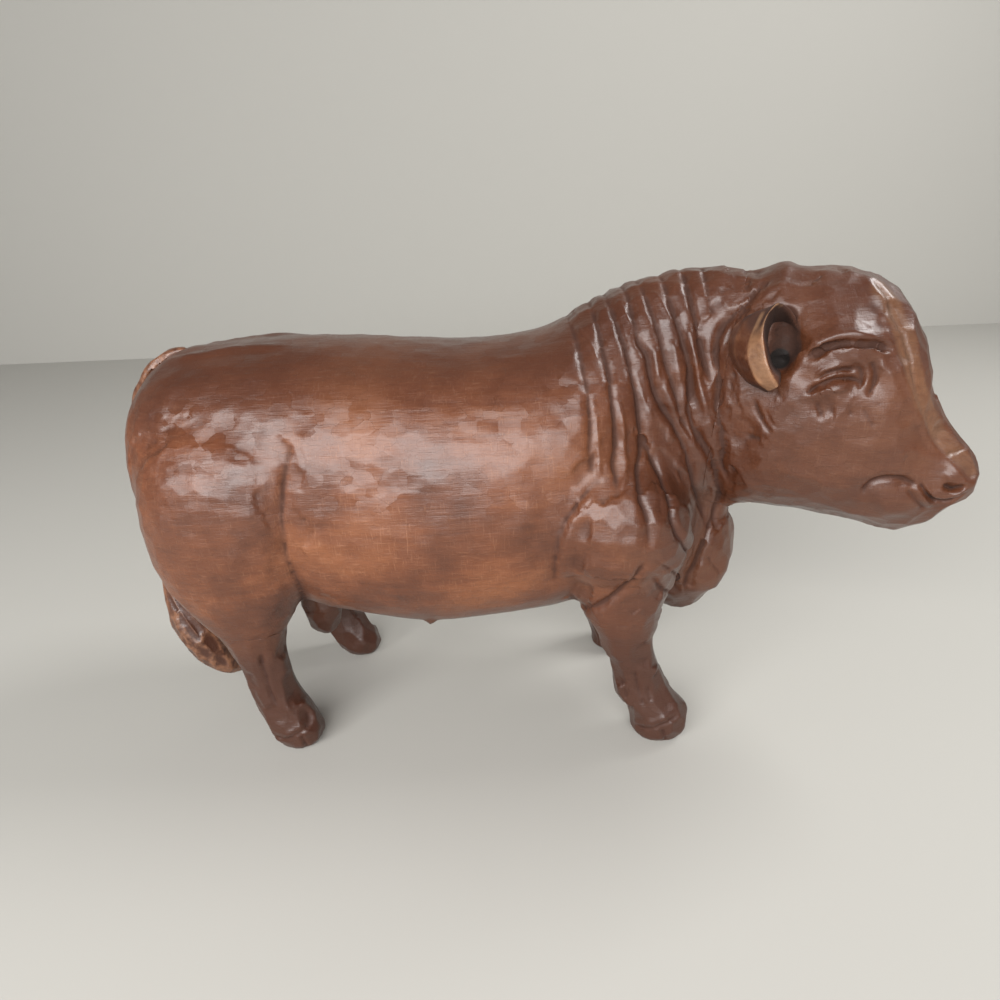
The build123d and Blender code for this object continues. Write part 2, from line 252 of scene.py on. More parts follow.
# Flats on the trunk
# Chisel flats left all over the trunk, faint on the flank and plain to see on rump, ribs and the
# shoulder's upper edge, where they catch the light. A chisel is size, tilt, depth and seed.
trunk_chisel = ((9 * mm, 6 * mm), 0.05, 0.10 * mm, 3)
trunk_cover = 0.8
trunk_front, trunk_fade = 18 * mm, 20 * mm
trunk_foot, trunk_foot_fade = 60 * mm, 15 * mm
flat_limit = 0.8 * mm
gouge_sweep = 42 * mm
dish_tries, dish_gap, dishes_near, least_lean = 6000, 0.5, 6, 0.4
patch_edge = 3
body_middle, body_across = Vector((0, 0, 0)), Vector((0, 1, 0))
search_ways = np.arange(0.24, 0.5, 0.004)
flat_patches = (
    ((172, 438), 19, 0.10, 0.30, (5.5, 5.0)),
    ((228, 448), 16, 0.10, 0.30, (6.0, 5.0)),
    ((335, 435), 19, 0.08, 0.25, (7.5, 5.0)),
    ((378, 478), 16, 0.08, 0.25, (6.5, 4.5)),
    ((483, 415), 11, 0.07, 0.20, (7.5, 8.0)),
    ((522, 425), 10, 0.07, 0.20, (7.5, 7.0)),
    ((568, 402), 12, 0.08, 0.25, (7.0, 6.0)),
)


def skin_of(piece):
    """A tree of the mesh's faces, for sight lines and nearest points."""
    return BVHTree.FromObject(piece, bpy.context.evaluated_depsgraph_get())


def seen(skin, pixels):
    """The points of the skin behind these pixels, or nearest to their lines of sight."""
    points = []
    for pixel in pixels:
        aim = sight(pixel)
        hit = skin.ray_cast(view_place, aim)[0]
        if hit is None:
            tries = [skin.find_nearest(view_place + aim * way) for way in search_ways]
            hit = min(tries, key=lambda found: found[3])[0]
        points.append(hit)
    return points


def mirrored(skin, points, middle, across):
    """The same points on the skin of the other side of a middle plane."""
    return [skin.find_nearest(point - across * 2 * (point - middle).dot(across))[0] for point in points]


def both_sides(skin, pixels, middle=body_middle, across=body_across):
    """The points of the skin behind these pixels, and the same points on its other side."""
    points = seen(skin, pixels)
    return points, mirrored(skin, points, middle, across)


def patch(places, centre, radius):
    """How far each point lies inside a round patch with a soft edge."""
    return np.clip((1 - np.linalg.norm(places - np.array(list(centre)), axis=1) / radius) * patch_edge, 0, 1)


def chiselled(places, facings, shares, size, tilt, depth, seed):
    """Flats left by a broad gouge: shallow dishes laid on the skin all over, each tilted and sunk
    a little, and everything above the lowest of them cut off. The shares say how fully each
    point takes part."""
    chance = np.random.default_rng(seed)
    worked = (shares > 0.01).nonzero()[0]
    scale = 1 / np.array((size[0], size[1], size[1]))
    kept, spots = [], np.empty((0, 3))
    for index in chance.permutation(worked)[:dish_tries]:
        spot = places[index] * scale
        if not len(kept) or ((spots - spot) ** 2).sum(1).min() > dish_gap:
            kept.append(index)
            spots = np.vstack([spots, spot])
    tree = KDTree(len(kept))
    for number, spot in enumerate(spots):
        tree.insert(spot, number)
    tree.balance()
    normals = facings[kept] + chance.uniform(-tilt, tilt, (len(kept), 3))
    normals /= np.linalg.norm(normals, axis=1)[:, None]
    middles = places[kept] - facings[kept] * chance.uniform(0, depth, len(kept))[:, None]
    found = [tree.find_n(spot, dishes_near) for spot in places[worked] * scale]
    near = np.array([[number for _, number, _ in dishes] for dishes in found])
    offsets = middles[near] - places[worked][:, None]
    lean = (normals[near] * facings[worked][:, None]).sum(2)
    rises = (offsets * normals[near]).sum(2) / np.maximum(lean, least_lean)
    rises += (offsets ** 2).sum(2) / (2 * gouge_sweep)
    rises[lean < least_lean] = flat_limit
    rise = np.clip(rises.min(1), -flat_limit, flat_limit) * (lean.max(1) > least_lean)
    moved = places.copy()
    moved[worked] += facings[worked] * (rise * shares[worked])[:, None]
    return moved


skin = skin_of(blank)
places, facings = surface(blank)
trunk_share = ramp(trunk_front - places[:, 0], trunk_fade) * ramp(places[:, 2] - trunk_foot, trunk_foot_fade)
places = chiselled(places, facings, trunk_cover * trunk_share, *trunk_chisel)
flat_spots = []
for number, (pixel, radius, tilt, step, size) in enumerate(flat_patches):
    near, far_side = both_sides(skin, (pixel,))
    for point in near + far_side:
        flat_spots.append((point, radius * mm))
        shares = patch(places, point, radius * mm)
        flats = (size[0] * mm, size[1] * mm)
        places = chiselled(places, facings, shares, flats, tilt, step * mm, number)
place(blank, places)

# Neck
# Heavy folds of hide cut with a V gouge, running from the crest down and forwards to the brisket,
# with sharp ridges between them. They go on over the crest and down the far side. Each row is a
# line of pixels, a depth or height and a width, and each swelling a pixel, a height and a radius.
neck_valleys = (
    (((568, 318), (577, 345), (583, 372), (589, 400), (590, 430), (589, 452), (591, 470), (598, 483)),
      1.5, 2.0),
    (((590, 306), (598, 330), (604, 355), (609, 372), (611, 392), (615, 420), (616, 445), (613, 462),
      (617, 486), (619, 499)), 2.4, 2.0),
    (((607, 300), (615, 322), (624, 345), (631, 370), (637, 395), (641, 423), (642, 448), (638, 472),
      (640, 497), (647, 517), (649, 542), (649, 556)), 2.8, 2.2),
    (((626, 293), (632, 318), (638, 342), (647, 356), (650, 374), (656, 395), (663, 409), (674, 424),
      (682, 442), (689, 460), (696, 486), (702, 508), (706, 522), (700, 540)), 3.2, 2.4),
    (((640, 286), (652, 315), (660, 340), (666, 366), (675, 392), (681, 416), (690, 434), (699, 452)),
      2.2, 2.0),
    (((660, 276), (670, 305), (680, 334), (686, 353), (690, 374), (691, 395), (689, 409), (692, 423),
      (701, 442), (711, 459), (715, 475), (718, 497), (716, 525), (708, 545)), 3.2, 2.3),
    (((680, 268), (690, 300), (697, 328), (703, 353), (708, 374), (714, 390)), 3.0, 2.2),
    (((700, 264), (706, 285), (710, 305), (712, 322)), 1.4, 1.6),
    (((772, 268), (757, 289), (738, 309), (723, 323), (716, 338), (714, 356), (718, 376), (717, 392),
      (716, 409), (721, 432), (722, 451), (721, 469), (727, 482), (736, 490)), 3.0, 2.4),
)
neck_side_valleys = (
    (((636, 400), (641, 425), (645, 440), (652, 455), (662, 475), (669, 493), (672, 517), (678, 535),
      (687, 549), (692, 560)), 2.6, 2.0),
    (((598, 483), (586, 493), (576, 507), (565, 522), (559, 538), (556, 556), (555, 575), (558, 592)),
      2.0, 1.2),
    (((575, 606), (585, 609), (600, 605), (617, 594), (630, 583), (641, 569), (649, 557)), 3.2, 2.4),
    (((649, 558), (660, 563), (672, 571), (682, 578), (690, 580)), 1.6, 1.4),
    (((651, 575), (659, 587), (668, 591), (676, 590), (682, 584)), 1.6, 1.4),
    (((706, 553), (712, 563), (724, 578)), 1.2, 1.2),
    (((716, 512), (708, 532), (700, 552), (694, 566), (688, 578)), 2.4, 1.8),
    (((690, 566), (688, 576), (684, 590), (690, 600)), 1.8, 1.5),
    (((650, 470), (657, 485), (661, 505), (664, 525)), 0.7, 1.0),
    (((681, 455), (690, 475), (697, 498), (701, 520)), 0.9, 1.0),
    (((700, 462), (708, 480), (712, 505)), 0.8, 1.0),
)
neck_ridges = (
    (((613, 395), (619, 405), (622, 420), (623, 440), (625, 465), (623, 485), (620, 498)), 1.7, 1.7),
    (((588, 385), (592, 400), (596, 420), (598, 445), (599, 470), (600, 485)), 1.0, 1.4),
    (((689, 322), (692, 345), (696, 365), (699, 385), (702, 395), (706, 410), (707, 422)), 1.8, 1.7),
    (((654, 345), (656, 362), (658, 376), (658, 390)), 1.2, 1.5),
    (((662, 385), (670, 398), (676, 412)), 0.9, 1.8),
    (((631, 359), (635, 374), (641, 392), (647, 408), (654, 423)), 0.9, 1.3),
    (((672, 338), (676, 360), (679, 377), (680, 388)), 0.9, 1.3),
    (((576, 325), (586, 338), (594, 353), (600, 364)), 0.9, 1.1),
    (((616, 296), (624, 311), (633, 325), (641, 341)), 0.9, 1.1),
    (((651, 289), (657, 297), (665, 308), (672, 320)), 0.9, 1.1),
    (((602, 486), (591, 496), (581, 510), (572, 526), (566, 543), (564, 562), (565, 580)), 1.8, 3.2),
)
brisket_swellings = (((712, 583), 1.6, 8.0), ((722, 566), 1.2, 8.0), ((729, 503), 4.5, 5.5),
                      ((690, 606), 1.2, 8.0))
brisket_radius, throat_pixel, throat_radius = 17 * mm, (736, 506), 13 * mm
throat_rounds, throat_share = 60, 0.9
neck_chisel = ((6 * mm, 9 * mm), 0.06, 0.10 * mm, 21)
neck_back, neck_fade, neck_foot = 10 * mm, 10 * mm, 62 * mm
broad_share, broad_width, broad_ends, broad_middle = 0.35, 2.4 * mm, 0.1, 0.2
narrow_share, narrow_ends, narrow_middle, valley_lean = 0.50, 0.08, 0.4, 0.25
side_share, side_width, side_lean = 0.30, 2.2 * mm, 0.2
ridge_height_share, ridge_width_share = 0.8, 0.7
neck_ease = 0.35
layer_limit = 3.5 * mm
cut_reach, cut_roundness, middle_length = 1.8, 1.2, 0.09


def traced(skin, points, spacing=0.5 * mm, rounds=12):
    """Even, rounded steps on the skin along a line of points."""
    points = np.array([list(point) for point in points])
    ways = np.concatenate([[0], np.cumsum(np.linalg.norm(np.diff(points, axis=0), axis=1))])
    steps = np.linspace(0, ways[-1], max(int(ways[-1] / spacing), 3))
    line = np.stack([np.interp(steps, ways, points[:, axis]) for axis in range(3)], 1)
    for _ in range(rounds):
        line[1:-1] = line[1:-1] / 2 + (line[:-2] + line[2:]) / 4
    return np.array([list(skin.find_nearest(Vector(point))[0]) for point in line])


def score(skin, places, facings, points, depth, width, lean=0.0, ends=0.2, middle=1.0):
    """A gouge cut along a line, or a ridge left standing where the depth is negative. Its two
    sides differ by the lean, it runs out over a share of its length at both ends, and only a
    share of its depth is cut at its middle."""
    line = traced(skin, points)
    reach = 2 * width * (1 + abs(lean)) + layer_limit
    near = np.all((places > line.min(0) - reach) & (places < line.max(0) + reach), axis=1)
    near = near.nonzero()[0]
    tangents = np.gradient(line, axis=0)
    tangents /= np.linalg.norm(tangents, axis=1)[:, None] + 1e-12
    moved = places.copy()
    for part in np.array_split(near, len(near) // 4000 + 1):
        gaps = places[part][:, None] - line[None]
        nearest = np.argmin((gaps ** 2).sum(2), axis=1)
        gap = gaps[np.arange(len(part)), nearest]
        rise = (gap * facings[part]).sum(1)
        gap -= facings[part] * rise[:, None]
        side = (gap * np.cross(tangents[nearest], facings[part])).sum(1)
        distance = np.linalg.norm(gap, axis=1) + np.clip(np.abs(rise) - layer_limit, 0, None)
        widths = width * (1 + lean * np.sign(side))
        way = nearest / (len(line) - 1)
        fade = np.clip(np.minimum(way, 1 - way) / max(ends, 0.001), 0, 1)
        fade = fade * fade * (3 - 2 * fade)
        fade = fade * (1 - (1 - middle) * np.exp(-(((way - 0.5) / middle_length) ** 2)))
        section = np.clip(1 - distance / (cut_reach * widths), 0, 1) ** cut_roundness
        moved[part] -= facings[part] * (depth * fade * section)[:, None]
    return moved


def scored(skin, places, facings, lines, *ways, middle=body_middle, across=body_across):
    """The places with a gouge cut along every line of pixels, on both sides."""
    for pixels, depth, width in lines:
        for points in both_sides(skin, pixels, middle, across):
            places = score(skin, places, facings, points, depth * mm, width * mm, *ways)
    return places


def swelled(places, facings, centre, height, radius):
    """A soft swelling, or a hollow where the height is negative."""
    distance = np.linalg.norm(places - np.array(list(centre)), axis=1)
    return places + facings * (height * np.exp(-((distance / radius) ** 2)))[:, None]


places, facings = surface(blank)
neck_share = ramp(places[:, 0] - neck_back, neck_fade) * (places[:, 2] > neck_foot)
place(blank, chiselled(places, facings, neck_share, *neck_chisel))
skin = skin_of(blank)
places, facings = surface(blank)
for pixel, height, radius in brisket_swellings:
    near, far_side = both_sides(skin, (pixel,))
    for point in near + far_side:
        places = swelled(places, facings, point, height * mm, radius * mm)
# The lowest swelling and the throat are smoothed, where folds of the blank are left
softened = np.zeros(len(places))
for point in near + far_side:
    softened = np.maximum(softened, patch(places, point, brisket_radius))
throat = np.array(list(seen(skin, (throat_pixel,))[0]))
from_throat = np.linalg.norm((places - throat)[:, ::2], axis=1)
softened = np.maximum(softened, np.clip((1 - from_throat / throat_radius) * patch_edge, 0, 1))
place(blank, eased(blank, places, throat_rounds, throat_share * softened))
skin = skin_of(blank)
places, facings = surface(blank)
for pixels, depth, width in neck_valleys:
    near, far_side = both_sides(skin, pixels)
    line = near[::-1] + far_side
    broad = (broad_share * depth * mm, broad_width, valley_lean, broad_ends, broad_middle)
    narrow = (narrow_share * depth * mm, narrow_share * width * mm, valley_lean, narrow_ends, narrow_middle)
    places = score(skin, places, facings, line, *broad)
    places = score(skin, places, facings, line, *narrow)
for pixels, depth, width in neck_side_valleys:
    for points in both_sides(skin, pixels):
        narrow = (narrow_share * depth * mm, narrow_share * width * mm, side_lean)
        places = score(skin, places, facings, points, side_share * depth * mm, side_width, side_lean)
        places = score(skin, places, facings, points, *narrow)
ridges = [(pixels, -ridge_height_share * height, ridge_width_share * width)
          for pixels, height, width in neck_ridges]
places = scored(skin, places, facings, ridges)
place(blank, eased(blank, places, 1, neck_ease))

# Hindquarters
# The crease between thigh and flank, one long slip of the gouge beside it, and the ridge of the
# back. The bed of the tail is built up along the rump.
flank_pixels = ((296, 408), (292, 430), (288, 455), (283, 480), (281, 505), (281, 527), (285, 555),
                (292, 573), (299, 588), (307, 603))
slip_pixels = ((274, 445), (277, 467), (276, 484), (271, 513))
back_ridge_pixels = ((158, 368), (172, 362), (186, 359), (212, 354), (240, 349), (270, 347), (300, 346))
hind_lines = ((flank_pixels, 1.8, 3.4), (flank_pixels, 0.7, 0.8), (slip_pixels, -0.6, 0.9),
              (back_ridge_pixels, -1.4, 2.6), (back_ridge_pixels, -0.4, 0.9))
hind_lean, hind_ends = 0.0, 0.3
sheath_pixel, sheath_tip = (431, 621), (3.0 * mm, 1.7 * mm)
root_bed = (1.8 * mm, 12 * mm)
tail_bed, tail_bed_levels, tail_bed_slice = (1.1 * mm, 6 * mm), (116, 122, 128, 134, 140, 146, 152), 4 * mm
skin = skin_of(blank)
places, facings = surface(blank)
places = scored(skin, places, facings, hind_lines, hind_lean, hind_ends)
hanging = np.array([list(vert.co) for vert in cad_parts["tail"].data.vertices])
tail_root = max((vert.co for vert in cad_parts["tail"].data.vertices), key=lambda place: place.z)
places = swelled(places, facings, tail_root, *root_bed)
for level in tail_bed_levels:
    middle = hanging[np.abs(hanging[:, 2] - level * mm) < tail_bed_slice].mean(0)
    places = swelled(places, facings, skin.find_nearest(Vector(middle))[0], *tail_bed)
places = swelled(places, facings, seen(skin, (sheath_pixel,))[0], *sheath_tip)
place(blank, places)

# Legs
# Short chiselled shanks with a few gouge lines, and cloven hooves marked off by a cut. The far
# leg of a pair stands a step away from the near one.
leg_lines = {
    "fore": (-12.0, (
        (((634, 668), (638, 688), (645, 710)), 1.2, 0.9),
        (((624, 680), (629, 708)), 0.8, 0.8),
        (((648, 685), (651, 703)), 0.8, 0.8),
        (((634, 724), (649, 729), (661, 725), (680, 713)), 0.9, 0.8),
        (((632, 718), (648, 723), (662, 719), (677, 709)), -0.6, 1.2),
        (((662, 728), (667, 746)), 1.3, 0.8),
        (((598, 640), (609, 658), (618, 676)), 0.9, 1.2),
    )),
    "hind": (15.0, (
        (((268, 735), (286, 740), (301, 732), (313, 722)), 0.9, 0.8),
        (((266, 729), (285, 735), (300, 727), (311, 717)), -0.6, 1.2),
        (((300, 734), (306, 744), (309, 753)), 1.3, 0.8),
        (((259, 650), (264, 670), (270, 692), (279, 712)), 1.3, 1.0),
        (((247, 680), (256, 700), (268, 720)), -0.6, 1.2),
    )),
}
leg_flats = {
    "fore": (
        ((643, 655), 0.9, 8.0, 0),
        ((662, 700), 0.8, 7.0, 0),
        ((652, 736), 0.5, 5.0, 0),
        ((617, 618), 0.8, 9.0, 0),
    ),
    "hind": (
        ((254, 682), 0.7, 6.0, -0.2),
        ((272, 716), 0.8, 6.0, 0),
        ((289, 690), 1.3, 9.0, 0.6),
        ((287, 745), 0.5, 5.0, 0),
        ((303, 718), 0.8, 6.0, 0.5),
    ),
}
leg_chisel = ((7 * mm, 9 * mm), 0.08, 0.15 * mm, 5)
leg_top, leg_top_fade = 64 * mm, 8 * mm
sole_clearance = 2 * mm
leg_ease = 0.3
flat_edge = 0.45


def planed(places, facings, centre, depth, radius, turned=(0, 0, 0)):
    """A flat cut with a wide chisel, so far below the skin, square to it or turned a little."""
    centre = np.array(list(centre))
    distance = np.linalg.norm(places - centre, axis=1)
    near = distance < radius
    normal = facings[distance < radius / 2].mean(0) + np.array(turned)
    normal /= np.linalg.norm(normal)
    above = (places - centre) @ normal + depth
    share = ramp(radius - distance, flat_edge * radius) * near
    return places - normal * (np.clip(above, 0, None) * share)[:, None]


places, facings = surface(blank)
leg_share = ramp(leg_top - places[:, 2], leg_top_fade) * ramp(places[:, 2] - sole_clearance, sole_clearance)
place(blank, chiselled(places, facings, leg_share, *leg_chisel))
skin = skin_of(blank)
places, facings = surface(blank)
for name, (step, lines) in leg_lines.items():
    shift = Vector((step, 0, 0)) * mm
    for pixel, depth, radius, turned in leg_flats[name]:
        near = seen(skin, (pixel,))
        for point in near + mirrored(skin, [near[0] + shift], body_middle, body_across):
            places = planed(places, facings, point, depth * mm, radius * mm, (turned, 0, 0))
    for pixels, depth, width in lines:
        near = seen(skin, pixels)
        for points in (near, mirrored(skin, [point + shift for point in near], body_middle, body_across)):
            places = score(skin, places, facings, points, depth * mm, width * mm)
place(blank, eased(blank, places, 1, leg_ease))

# Head
# Skull, heavy brow folds over slit eyes, a flat bridge of the nose, nostrils and folded lips,
# alike on both cheeks. The head is turned to the bull's right.
head_turn = math.radians(22)
head_middle = Vector((73.4, -4, 0)) * mm
head_across = Vector((math.sin(head_turn), math.cos(head_turn), 0))
head_ahead = Vector((math.cos(head_turn), -math.sin(head_turn), 0))
head_chisel = ((8 * mm, 7 * mm), 0.05, 0.10 * mm, 11)
head_cover, head_back, head_fade, head_foot = 0.8, 8 * mm, 8 * mm, 95 * mm
fine_patches = (((838, 370), 17), ((900, 495), 13), ((943, 484), 16))
forehead_turn = (0.05, 0, 0.12)
face_flats = (
    ((858, 300), 0.8, 10.0, forehead_turn),
    ((873, 318), 0.9, 9.0, forehead_turn),
    ((883, 336), 0.7, 7.0, forehead_turn),
    ((862, 425), 0.5, 10.0),
    ((838, 455), 0.5, 13.0),
    ((820, 405), 0.5, 6.0),
    ((835, 412), 0.4, 5.0),
    ((856, 405), 0.4, 5.0),
    ((815, 315), 0.4, 9.0),
    ((742, 430), 0.5, 8.0),
)
face_swellings = (
    ((788, 263), -1.3, 8.0),
    ((822, 270), 1.4, 12.0),
    ((872, 268), -0.7, 8.0),
    ((842, 334), 1.2, 8.0),
    ((872, 336), 1.0, 7.0),
    ((830, 390), 1.8, 5.0),
    ((838, 357), 1.2, 4.5),
    ((815, 366), 0.9, 4.0),
    ((875, 382), -1.8, 5.0),
    ((825, 405), -0.6, 4.0),
    ((858, 402), -0.6, 4.0),
    ((893, 503), 2.4, 9.0),
    ((955, 474), 1.3, 3.6),
    ((954, 488), -1.2, 2.5),
    ((939, 510), -2.0, 7.0),
)
brow_crease = ((800, 362), (812, 356), (826, 347), (843, 343), (859, 343), (878, 345), (897, 350))
face_lines = (
    (brow_crease, 1.0, 2.6),
    (brow_crease, 1.4, 1.3),
    (((806, 350), (817, 345), (828, 340), (843, 336), (859, 336), (874, 338), (889, 342)), -0.9, 1.4),
    (((814, 382), (824, 374), (840, 368), (858, 370)), 1.4, 0.8),
    (((814, 377), (826, 369), (842, 363), (856, 365)), -0.9, 1.0),
    (((804, 396), (817, 386), (834, 379), (852, 378), (864, 383)), 2.4, 0.95),
    (((808, 401), (820, 393), (835, 388), (852, 388)), -0.9, 1.3),
    (((848, 355), (861, 359), (868, 370), (868, 383), (863, 394)), -0.9, 1.1),
    (((857, 364), (862, 372), (862, 382), (858, 390)), 0.6, 0.7),
    (((871, 359), (877, 373), (875, 388), (867, 399)), 0.9, 1.0),
    (((861, 495), (866, 487), (874, 481), (884, 478), (898, 478), (911, 483)), 0.8, 2.2),
    (((859, 497), (865, 488), (874, 481), (885, 478), (899, 478), (912, 482), (920, 490)), 1.3, 0.9),
    (((912, 482), (922, 496), (933, 511)), -1.1, 1.0),
    (((918, 481), (928, 495), (938, 508)), 1.3, 0.7),
    (((905, 485), (914, 498), (925, 512)), 0.8, 0.7),
    (((921, 488), (933, 502), (947, 505), (959, 500), (969, 490)), 1.4, 0.8),
    (((920, 483), (932, 496), (946, 500), (957, 496), (967, 487)), -0.8, 0.9),
    (((943, 484), (950, 489), (958, 490), (967, 485)), 2.4, 1.0),
    (((943, 470), (950, 480), (962, 484), (970, 480)), -0.7, 0.9),
    (((729, 376), (734, 392), (741, 406)), 0.7, 0.8),
    (((731, 378), (736, 393), (743, 407)), -0.6, 0.6),
    (((754, 396), (757, 412), (764, 425), (774, 436)), 1.0, 0.8),
    (((764, 408), (770, 421), (779, 431)), 0.6, 0.6),
    (((775, 390), (784, 401)), 0.5, 0.6),
    (((743, 434), (756, 440), (768, 436)), 0.7, 0.8),
    (((816, 402), (822, 412), (820, 422)), 0.6, 0.8),
    (((832, 406), (833, 420), (828, 430)), 0.6, 0.8),
    (((848, 404), (852, 418)), 0.5, 0.8),
    (((864, 408), (869, 420), (876, 428)), 0.6, 0.8),
)
bridge_lines = (
    (((858, 273), (871, 284), (884, 303), (888, 322), (889, 337), (896, 350), (901, 370), (909, 388),
      (915, 405), (922, 421), (934, 446), (944, 460)), -0.9, 1.4),
    (((869, 277), (884, 291), (894, 311), (904, 330), (911, 354), (916, 379), (920, 397)), 0.9, 0.9),
    (((946, 455), (956, 452), (966, 447)), 0.8, 0.7),
)
bridge_flats = (
    ((897, 318), 0.8, 8.0), ((908, 345), 0.8, 8.0), ((915, 372), 0.8, 8.0), ((922, 400), 0.8, 8.0),
    ((933, 422), 0.8, 8.0), ((948, 440), 0.8, 8.0), ((966, 463), 1.0, 9.0),
)
poll_pixel, poll_radius, poll_rounds, poll_share = (788, 262), 11 * mm, 25, 0.9
brow_pixel, brow_radius, brow_rounds, brow_share = (854, 349), 8 * mm, 12, 0.8
brow_cut = (1.1 * mm, 1.0 * mm)
fine_reach, fine_rounds, fine_ease, last_fine_ease = 1.1, 4, 0.8, 0.5
hole_depth_share, hole_radius_share = 0.8, 1.3
face_ease = 0.3
# The ear's hollow: pixel, depth, radius, and how dark a painted shadow in it is
ear_hollow = (((786, 318), 2.5, 3.5, 0.8), ((786, 334), 4.2, 4.5, 0.95), ((785, 350), 5.0, 5.0, 1.0),
              ((778, 362), 7.0, 3.8, 1.6))


def both_cheeks(skin, pixels):
    """The points of the skin behind these pixels, and the same points on the other cheek."""
    return both_sides(skin, pixels, head_middle, head_across)


def smoothed(piece, places, skin, pixel, radius, rounds, share):
    """The places with a round patch around a pixel eased on both cheeks."""
    shares = np.max([patch(places, points[0], radius) for points in both_cheeks(skin, (pixel,))], axis=0)
    return eased(piece, places, rounds, share * shares)


places, facings = surface(blank)
head_way = (places - np.array(list(head_middle))) @ np.array(list(head_ahead))
head_share = ramp(head_way - head_back, head_fade) * (places[:, 2] > head_foot)
place(blank, chiselled(places, facings, head_cover * head_share, *head_chisel))
fine_spots = []
skin = skin_of(blank)
for pixel, radius in fine_patches:
    fine_spots += [(points[0], radius * mm) for points in both_cheeks(skin, (pixel,))]
refine(blank, lambda centres: np.any([patch(centres, *spot) > 0 for spot in fine_spots], axis=0))
places = places_of(blank)
fine_share = np.max([patch(places, point, fine_reach * radius) for point, radius in fine_spots], axis=0)
place(blank, eased(blank, places, fine_rounds, fine_ease * fine_share))
places, facings = surface(blank)
for pixel, depth, radius, *turned in face_flats:
    for points in both_cheeks(skin, (pixel,)):
        places = planed(places, facings, points[0], depth * mm, radius * mm, *turned)
for pixel, depth, radius in bridge_flats:
    places = planed(places, facings, seen(skin, (pixel,))[0], depth * mm, radius * mm)
for pixel, height, radius in face_swellings:
    for points in both_cheeks(skin, (pixel,)):
        places = swelled(places, facings, points[0], height * mm, radius * mm)
places = scored(skin, places, facings, face_lines + bridge_lines, middle=head_middle, across=head_across)
places = smoothed(blank, places, skin, poll_pixel, poll_radius, poll_rounds, poll_share)
# The crease under the brow is smoothed and cut once more
place(blank, smoothed(blank, places, skin, brow_pixel, brow_radius, brow_rounds, brow_share))
places, facings = surface(blank)
for points in both_cheeks(skin, brow_crease):
    places = score(skin, places, facings, points, *brow_cut)
# The hollow and hole that the ear opens to, with a painted shadow in them, near black in the hole
shadows = []
for pixel, depth, radius, darkness in ear_hollow:
    for points in both_cheeks(skin, (pixel,)):
        places = swelled(places, facings, points[0], -depth * mm, radius * mm)
        inwards = head_across if (points[0] - head_middle).dot(head_across) < 0 else -head_across
        hole = points[0] + inwards * hole_depth_share * depth * mm
        shadows.append((hole, hole_radius_share * radius * mm, darkness))
places = eased(blank, places, 1, face_ease)
places = eased(blank, places, 2, last_fine_ease * fine_share)
low, high = cad_box
place(blank, np.clip(places, low, high))

# Depth of the carving
# Told from how far the skin lies below its own smoothed shape, for the darkening in the cuts, which is
# stain gathered there and painted shade, and the wear off the ridges. A painted shadow darkens the
# ear's hollow and hole. The bridge of the nose is rubbed paler and painted with a highlight.
hollow_rounds, hollow_span = 32, 0.42 * mm
faint_flats = 0.35
bridge_pixels = ((884, 290), (895, 308), (902, 325), (908, 342), (912, 358), (916, 374), (920, 390),
                 (927, 406), (935, 422), (943, 436), (952, 446), (962, 456), (970, 464))
# The bridge of the nose is rubbed paler and painted with a highlight
bridge_wear_and_highlight, bridge_width, bridge_edge = 0.17, 5.5 * mm, 2 * mm
bridge_back = 110 * mm


def evenness(piece, places, span):
    """How much each point may be eased so that all parts change over the same distance."""
    pairs = np.empty(len(piece.data.edges) * 2, np.int32)
    piece.data.edges.foreach_get("vertices", pairs)
    first, second = pairs.reshape(-1, 2).T
    lengths = np.linalg.norm(places[first] - places[second], axis=1)
    total = np.bincount(first, lengths, len(places)) + np.bincount(second, lengths, len(places))
    edges = np.bincount(first, minlength=len(places)) + np.bincount(second, minlength=len(places))
    return np.clip((span * edges / total) ** 2, 0, 1)


def mark(piece, name, values):
    """A value for each point of the piece, for the material to read."""
    piece.data.attributes.new(name, "FLOAT", "POINT").data.foreach_set("value", values.astype(np.float32))


places, facings = surface(blank)
shares = evenness(blank, places, hollow_span)
hollow = ((eased(blank, places, hollow_rounds, shares) - places) * facings).sum(1) / mm
# A painted shadow in the ear's hollow and hole, near black at its darkest
for point, radius, darkness in shadows:
    hollow = np.maximum(hollow, darkness * patch(places, point, radius))
flats = faint_flats * np.ones(len(places))
for point, radius in flat_spots:
    flats = np.maximum(flats, patch(places, point, radius))
worn_and_highlight = np.zeros(len(places))
bridge_line = traced(skin, seen(skin, bridge_pixels))
bridge = KDTree(len(bridge_line))
for number, point in enumerate(bridge_line):
    bridge.insert(point, number)
bridge.balance()
near = (places[:, 0] > bridge_back).nonzero()[0]
reach = np.array([bridge.find(point)[2] for point in places[near]])
worn_and_highlight[near] = bridge_wear_and_highlight * ramp(bridge_width - reach, bridge_edge)
mark(blank, "worn_and_highlight", worn_and_highlight)
mark(blank, "flats", flats)
mark(blank, "hollow", hollow)

# Wood
# Close-grained hardwood, stained dark reddish brown and varnished to a satin shine. The colour is
# darker towards the front and the bottom, and along the top as painted shade; darkest in the cuts,
# as stain gathered there and painted shade, near black in the ear's hole as a painted shadow; worn
# at the edges; and paler on the bridge of the nose, rubbed and painted with a highlight.
# A darker colour towards the front and the bottom, and painted shade along the top
darker_and_shade_colour = (0.058, 0.017, 0.007, 1)
stain_dark = (0.080, 0.023, 0.009, 1)
stain_mid = (0.150, 0.045, 0.016, 1)
stain_light = (0.235, 0.080, 0.029, 1)
# Dark brown in the cuts: stain gathered there and painted shade
cut_stain_and_shade_colour = (0.036, 0.011, 0.005, 1)
# A painted shadow, near black, for the ear's hole
hole_painted_shadow_colour = (0.004, 0.002, 0.001, 1)
worn_colour = (0.340, 0.155, 0.080, 1)
